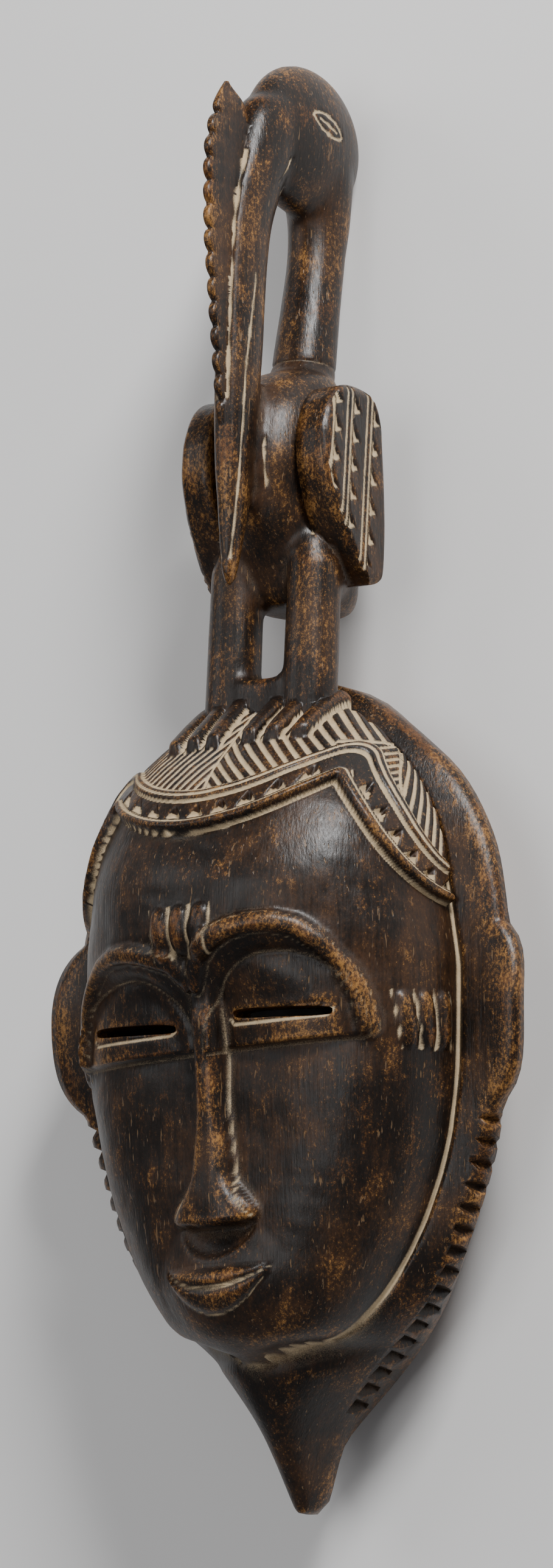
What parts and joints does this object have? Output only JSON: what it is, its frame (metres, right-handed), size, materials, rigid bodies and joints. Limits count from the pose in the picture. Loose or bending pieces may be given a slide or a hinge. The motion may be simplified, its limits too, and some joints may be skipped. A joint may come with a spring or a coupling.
{
  "type": "face mask",
  "caption": "Carved wooden face mask with a toothed flange and a long-beaked hornbill standing on its crown.",
  "frame": {"origin": "middle of the footprint on the resting plane, the mask lying on its hollow back", "axes": "+Y along the height towards the bird's head, +Z out of the face, X across the face"},
  "size_m": [0.1826, 0.485, 0.1024],
  "materials": {
    "mask": "dark worn polish"
  },
  "bodies": {
    "root": {"mask": "mask"}
  },
  "joints": []
}
